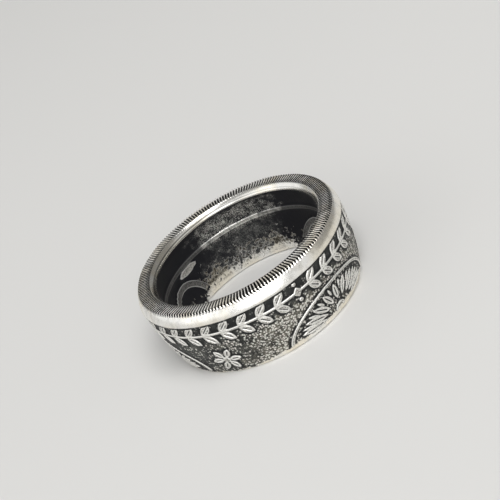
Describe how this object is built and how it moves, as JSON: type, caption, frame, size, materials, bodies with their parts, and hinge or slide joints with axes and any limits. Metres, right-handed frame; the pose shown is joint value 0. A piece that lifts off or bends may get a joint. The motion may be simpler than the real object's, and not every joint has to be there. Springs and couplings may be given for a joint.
{
  "type": "coin ring",
  "caption": "Finger ring folded up from a coin: a barrel-shaped band with a reeded flat top, polished rims and raised leaf, fan and rosette ornament.",
  "frame": {"origin": "centre of the flat narrow end that the ring rests on", "axes": "+Z along the finger axis, from the narrow end to the reeded end; -Y is the side that the picture shows nearest"},
  "size_m": [0.0252, 0.0252, 0.0092],
  "materials": {
    "oxidised_silver": "silver coin metal, darkened in its recesses and polished bright on the rims, the raised ornament and the narrow end"
  },
  "bodies": {
    "root": {"coin_ring": "oxidised_silver"}
  },
  "joints": []
}
